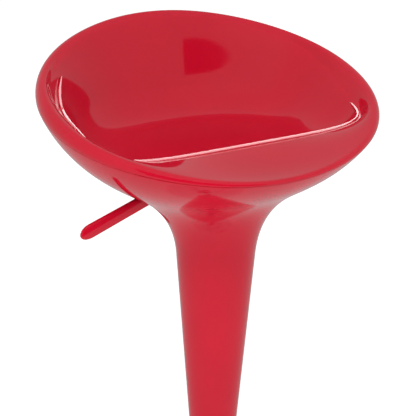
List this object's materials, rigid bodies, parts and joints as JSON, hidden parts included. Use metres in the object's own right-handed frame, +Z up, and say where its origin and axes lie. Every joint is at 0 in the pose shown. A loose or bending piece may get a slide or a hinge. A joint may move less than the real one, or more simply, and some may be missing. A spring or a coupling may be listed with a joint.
{
  "type": "adjustable swivel bar stool",
  "caption": "Height-adjustable swivel bar stool: moulded bucket seat flowing into a tapered trunk over a gas-lift column, side release lever, round base and footrest loop.",
  "frame": {"origin": "on the floor, on the swivel axis, under the middle of the base", "axes": "+Z up along the column; -Y is the way the sitter faces; the release lever points towards -X"},
  "size_m": [0.455, 0.4238, 0.8807],
  "materials": {
    "seat_red": "high gloss moulded ABS, deep red",
    "chrome": "polished chrome plate on steel",
    "zinc_steel": "zinc plated or ground steel",
    "black_steel": "black powder coat",
    "black_plastic": "moulded nylon, fine grain",
    "black_rubber": "matt rubber"
  },
  "bodies": {
    "base": {"floor_ring": "black_rubber", "base_disc": "chrome", "ballast_plate": "black_steel", "column_foot": "zinc_steel", "column_plug": "zinc_steel", "base_washer": "zinc_steel", "base_bolt": "zinc_steel", "stand_tube": "chrome", "column_bush": "black_plastic", "column_floor": "zinc_steel", "thrust_washer_lower": "zinc_steel", "thrust_ball_ring": "zinc_steel", "footrest_collar": "chrome", "footrest_loop": "chrome"},
    "rod": {"piston_rod": "zinc_steel", "piston": "zinc_steel", "piston_nut": "zinc_steel", "bump_stop": "black_rubber", "rod_clip": "zinc_steel", "thrust_washer_upper": "zinc_steel"},
    "seat": {"seat_pan": "seat_red", "lower_shell": "seat_red", "trunk_guide_ring": "black_plastic", "seat_bracket": "black_steel", "bracket_socket": "black_steel", "bolt_washer_1": "zinc_steel", "bolt_washer_2": "zinc_steel", "bolt_washer_3": "zinc_steel", "bolt_washer_4": "zinc_steel", "seat_bolt_1": "zinc_steel", "seat_bolt_2": "zinc_steel", "seat_bolt_3": "zinc_steel", "seat_bolt_4": "zinc_steel", "lever_pivot_pin": "zinc_steel", "pressure_tube": "chrome", "rod_guide": "black_plastic", "rod_seal": "black_rubber", "valve_body": "zinc_steel"},
    "lever": {"lever_blade": "zinc_steel", "lever_grip": "seat_red"},
    "pin": {"release_pin": "zinc_steel"}
  },
  "joints": [
    {"name": "seat_swivel", "type": "hinge", "parent": "base", "child": "rod", "pos_m": [0, 0, 0.0705], "axis": [0, 0, 1], "continuous": true},
    {"name": "height_lift", "type": "slide", "parent": "rod", "child": "seat", "axis": [0, 0, 1], "range_m": [-0.21, 0]},
    {"name": "lever_pivot", "type": "hinge", "parent": "seat", "child": "lever", "pos_m": [-0.038, 0, 0.6885], "axis": [0, 1, 0], "range_deg": [0, 5.5], "stiffness_Nm_per_rad": 1.5, "springref_deg": -5.73},
    {"name": "release_pin_press", "type": "slide", "parent": "seat", "child": "pin", "axis": [0, 0, -1], "range_m": [0, 0.0037], "stiffness_N_per_m": 300}
  ],
  "couplings": [
    {"joint": "release_pin_press", "follows": "lever_pivot", "m_per_rad": 0.038}
  ]
}
